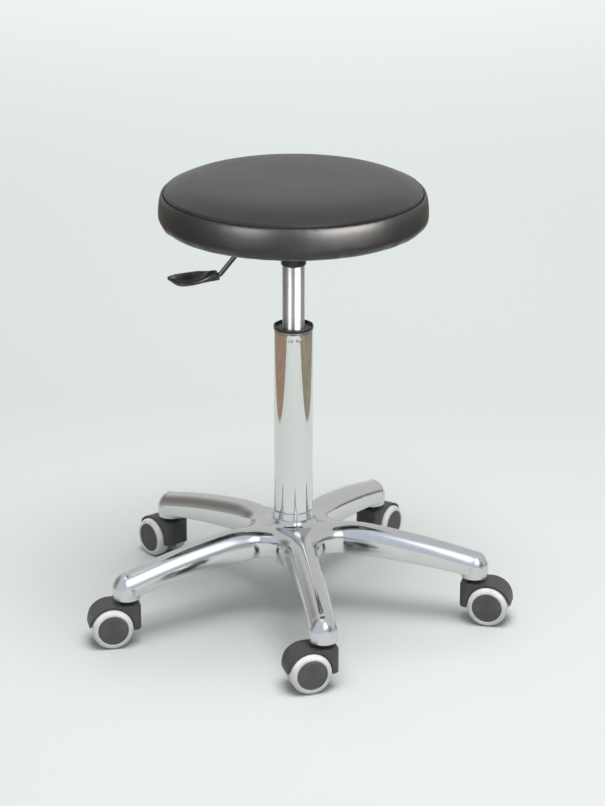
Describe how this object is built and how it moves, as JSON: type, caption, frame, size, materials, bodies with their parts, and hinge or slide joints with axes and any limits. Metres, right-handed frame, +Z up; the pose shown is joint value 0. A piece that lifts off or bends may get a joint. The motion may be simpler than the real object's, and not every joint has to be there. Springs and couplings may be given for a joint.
{
  "type": "rolling stool",
  "caption": "Round padded stool on a gas-lift column with a bent release lever, a polished star base and swivelling twin-wheel casters.",
  "frame": {"origin": "on the floor, on the axis of the column", "axes": "+Z up along the column, -Y the stool's front as pictured, -X along the release lever"},
  "size_m": [0.5472, 0.5303, 0.582],
  "materials": {
    "cast_aluminium": "polished",
    "chrome_tube": "polished",
    "satin_steel": "satin",
    "dark_steel": "satin",
    "black_plastic": "moulded",
    "black_nylon": "fine grain",
    "wheel_grey": "moulded",
    "tyre_pale": "smooth",
    "black_enamel": "enamel",
    "black_vinyl": "soft sheen",
    "foam": "open cell",
    "plywood": "raw",
    "dust_fabric": "non-woven",
    "rubber": "matt",
    "zinc_steel": "zinc plated"
  },
  "bodies": {
    "base": {"star_base": "cast_aluminium", "column_tube": "chrome_tube", "guide_bush": "black_plastic", "thrust_bearing": "satin_steel", "caster_front_stem": "dark_steel", "caster_right_stem": "dark_steel", "caster_back_right_stem": "dark_steel", "caster_back_left_stem": "dark_steel", "caster_left_stem": "dark_steel"},
    "rod": {"piston_rod": "satin_steel", "piston": "black_plastic", "bump_stop": "rubber", "retaining_clip": "zinc_steel"},
    "seat": {"pressure_tube": "satin_steel", "socket_housing": "black_enamel", "seat_plate": "black_enamel", "plate_bolt_1": "zinc_steel", "plate_bolt_2": "zinc_steel", "plate_bolt_3": "zinc_steel", "plate_bolt_4": "zinc_steel", "lever_grommet": "rubber", "dust_cover": "dust_fabric", "seat_board": "plywood", "seat_foam": "foam", "seat_side_band": "black_vinyl", "seat_top_panel": "black_vinyl"},
    "lever": {"lever_rod": "black_enamel", "lever_paddle": "black_plastic"},
    "button": {"release_button": "zinc_steel"},
    "caster_front": {"caster_front_hood": "black_nylon", "caster_front_axle": "dark_steel"},
    "caster_front_wheel_left": {"caster_front_core_left": "wheel_grey", "caster_front_tyre_left": "tyre_pale"},
    "caster_front_wheel_right": {"caster_front_core_right": "wheel_grey", "caster_front_tyre_right": "tyre_pale"},
    "caster_right": {"caster_right_hood": "black_nylon", "caster_right_axle": "dark_steel"},
    "caster_right_wheel_left": {"caster_right_core_left": "wheel_grey", "caster_right_tyre_left": "tyre_pale"},
    "caster_right_wheel_right": {"caster_right_core_right": "wheel_grey", "caster_right_tyre_right": "tyre_pale"},
    "caster_back_right": {"caster_back_right_hood": "black_nylon", "caster_back_right_axle": "dark_steel"},
    "caster_back_right_wheel_left": {"caster_back_right_core_left": "wheel_grey", "caster_back_right_tyre_left": "tyre_pale"},
    "caster_back_right_wheel_right": {"caster_back_right_core_right": "wheel_grey", "caster_back_right_tyre_right": "tyre_pale"},
    "caster_back_left": {"caster_back_left_hood": "black_nylon", "caster_back_left_axle": "dark_steel"},
    "caster_back_left_wheel_left": {"caster_back_left_core_left": "wheel_grey", "caster_back_left_tyre_left": "tyre_pale"},
    "caster_back_left_wheel_right": {"caster_back_left_core_right": "wheel_grey", "caster_back_left_tyre_right": "tyre_pale"},
    "caster_left": {"caster_left_hood": "black_nylon", "caster_left_axle": "dark_steel"},
    "caster_left_wheel_left": {"caster_left_core_left": "wheel_grey", "caster_left_tyre_left": "tyre_pale"},
    "caster_left_wheel_right": {"caster_left_core_right": "wheel_grey", "caster_left_tyre_right": "tyre_pale"}
  },
  "joints": [
    {"name": "seat_swivel", "type": "hinge", "parent": "base", "child": "rod", "pos_m": [0, 0, 0], "axis": [0, 0, 1], "continuous": true},
    {"name": "seat_height", "type": "slide", "parent": "rod", "child": "seat", "axis": [0, 0, 1], "range_m": [-0.07, 0.06]},
    {"name": "lever_lift", "type": "hinge", "parent": "seat", "child": "lever", "pos_m": [-0.03475, 0, 0.50818], "axis": [0, 1, 0], "range_deg": [0, 5], "stiffness_Nm_per_rad": 2, "springref_deg": -2.86},
    {"name": "button_press", "type": "slide", "parent": "seat", "child": "button", "axis": [0, 0, -1], "range_m": [0, 0.0033]},
    {"name": "caster_front_swivel", "type": "hinge", "parent": "base", "child": "caster_front", "pos_m": [0.03626, -0.23421, 0], "axis": [0, 0, 1], "continuous": true},
    {"name": "caster_front_wheel_left_spin", "type": "hinge", "parent": "caster_front", "child": "caster_front_wheel_left", "pos_m": [0.01662, -0.2401, 0.02608], "axis": [0.2874, -0.9578, 0], "continuous": true},
    {"name": "caster_front_wheel_right_spin", "type": "hinge", "parent": "caster_front", "child": "caster_front_wheel_right", "pos_m": [0.01662, -0.2401, 0.02608], "axis": [0.2874, -0.9578, 0], "continuous": true},
    {"name": "caster_right_swivel", "type": "hinge", "parent": "base", "child": "caster_right", "pos_m": [0.23395, -0.03789, 0], "axis": [0, 0, 1], "continuous": true},
    {"name": "caster_right_wheel_left_spin", "type": "hinge", "parent": "caster_right", "child": "caster_right_wheel_left", "pos_m": [0.25396, -0.04233, 0.02608], "axis": [0.2164, 0.9763, 0], "continuous": true},
    {"name": "caster_right_wheel_right_spin", "type": "hinge", "parent": "caster_right", "child": "caster_right_wheel_right", "pos_m": [0.25396, -0.04233, 0.02608], "axis": [0.2164, 0.9763, 0], "continuous": true},
    {"name": "caster_back_right_swivel", "type": "hinge", "parent": "base", "child": "caster_back_right", "pos_m": [0.10833, 0.21079, 0], "axis": [0, 0, 1], "continuous": true},
    {"name": "caster_back_right_wheel_left_spin", "type": "hinge", "parent": "caster_back_right", "child": "caster_back_right_wheel_left", "pos_m": [0.1192, 0.22818, 0.02608], "axis": [-0.848, 0.5299, 0], "continuous": true},
    {"name": "caster_back_right_wheel_right_spin", "type": "hinge", "parent": "caster_back_right", "child": "caster_back_right_wheel_right", "pos_m": [0.1192, 0.22818, 0.02608], "axis": [-0.848, 0.5299, 0], "continuous": true},
    {"name": "caster_back_left_swivel", "type": "hinge", "parent": "base", "child": "caster_back_left", "pos_m": [-0.167, 0.16817, 0], "axis": [0, 0, 1], "continuous": true},
    {"name": "caster_back_left_wheel_left_spin", "type": "hinge", "parent": "caster_back_left", "child": "caster_back_left_wheel_left", "pos_m": [-0.18012, 0.18392, 0.02608], "axis": [-0.7683, -0.6401, 0], "continuous": true},
    {"name": "caster_back_left_wheel_right_spin", "type": "hinge", "parent": "caster_back_left", "child": "caster_back_left_wheel_right", "pos_m": [-0.18012, 0.18392, 0.02608], "axis": [-0.7683, -0.6401, 0], "continuous": true},
    {"name": "caster_left_swivel", "type": "hinge", "parent": "base", "child": "caster_left", "pos_m": [-0.21154, -0.10686, 0], "axis": [0, 0, 1], "continuous": true},
    {"name": "caster_left_wheel_left_spin", "type": "hinge", "parent": "caster_left", "child": "caster_left_wheel_left", "pos_m": [-0.23164, -0.11091, 0.02608], "axis": [0.1977, -0.9803, 0], "continuous": true},
    {"name": "caster_left_wheel_right_spin", "type": "hinge", "parent": "caster_left", "child": "caster_left_wheel_right", "pos_m": [-0.23164, -0.11091, 0.02608], "axis": [0.1977, -0.9803, 0], "continuous": true}
  ],
  "couplings": [
    {"joint": "button_press", "follows": "lever_lift", "m_per_rad": 0.0375}
  ]
}
